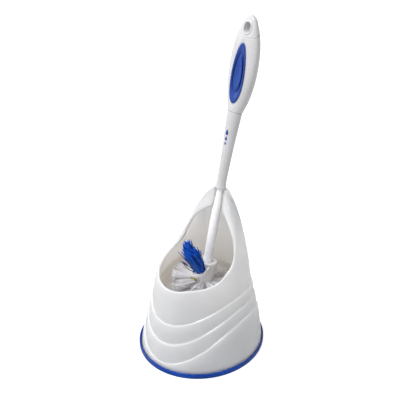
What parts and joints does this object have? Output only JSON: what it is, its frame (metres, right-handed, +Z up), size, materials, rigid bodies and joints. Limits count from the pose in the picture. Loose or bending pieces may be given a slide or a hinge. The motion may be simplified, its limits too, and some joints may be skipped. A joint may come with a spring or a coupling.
{
  "type": "toilet brush holder",
  "caption": "Floor-standing toilet brush caddy with a hooded, open-front shell on a blue tray, and a lift-out brush that leans in it with a long oval-gripped handle.",
  "frame": {"origin": "centre of the base, on the surface it stands on", "axes": "+Z up, -Y towards the caddy's open front, +X to the right seen from the front, looking towards +Y; the caddy is symmetric about X = 0"},
  "size_m": [0.146, 0.1639, 0.3985],
  "materials": {
    "shell_white": "glossy moulded white plastic",
    "tray_blue": "glossy moulded blue plastic",
    "handle_white": "satin-gloss moulded white plastic",
    "rod_white": "smooth white plastic rod",
    "hub_white": "moulded white plastic",
    "inset_blue": "glossy soft-touch blue elastomer",
    "bristle_white": "crimped white bristles",
    "bristle_blue": "stiff blue bristles",
    "staple_brass": "dull brass wire"
  },
  "bodies": {
    "caddy": {"caddy_shell": "shell_white", "base_tray": "tray_blue"},
    "brush": {"brush_rod": "rod_white", "hub_cap": "hub_white", "brush_hub": "hub_white", "blue_tuft_carrier": "hub_white", "anchor_staple": "staple_brass", "handle_stem": "handle_white", "grip_shell": "handle_white", "grip_inset": "inset_blue", "end_cap": "handle_white", "blue_tuft_1": "bristle_blue", "blue_tuft_2": "bristle_blue", "blue_tuft_3": "bristle_blue", "blue_tuft_4": "bristle_blue", "tuft_1_01": "bristle_white", "tuft_1_02": "bristle_white", "tuft_1_03": "bristle_white", "tuft_1_04": "bristle_white", "tuft_1_05": "bristle_white", "tuft_1_06": "bristle_white", "tuft_1_07": "bristle_white", "tuft_1_08": "bristle_white", "tuft_1_09": "bristle_white", "tuft_1_10": "bristle_white", "tuft_2_01": "bristle_white", "tuft_2_02": "bristle_white", "tuft_2_03": "bristle_white", "tuft_2_04": "bristle_white", "tuft_2_05": "bristle_white", "tuft_2_06": "bristle_white", "tuft_2_07": "bristle_white", "tuft_2_08": "bristle_white", "tuft_2_09": "bristle_white", "tuft_2_10": "bristle_white", "tuft_3_01": "bristle_white", "tuft_3_02": "bristle_white", "tuft_3_03": "bristle_white", "tuft_3_04": "bristle_white", "tuft_3_05": "bristle_white", "tuft_3_06": "bristle_white", "tuft_3_07": "bristle_white", "tuft_3_08": "bristle_white", "tuft_3_09": "bristle_white", "tuft_3_10": "bristle_white", "tuft_4_01": "bristle_white", "tuft_4_02": "bristle_white", "tuft_4_03": "bristle_white", "tuft_4_04": "bristle_white", "tuft_4_05": "bristle_white", "tuft_4_06": "bristle_white", "tuft_4_07": "bristle_white", "tuft_4_08": "bristle_white", "tuft_end": "bristle_white"}
  },
  "joints": [
    {"name": "brush_lift", "type": "slide", "parent": "caddy", "child": "brush", "axis": [0, -0.2079, 0.9781], "range_m": [0, 0.185]}
  ]
}
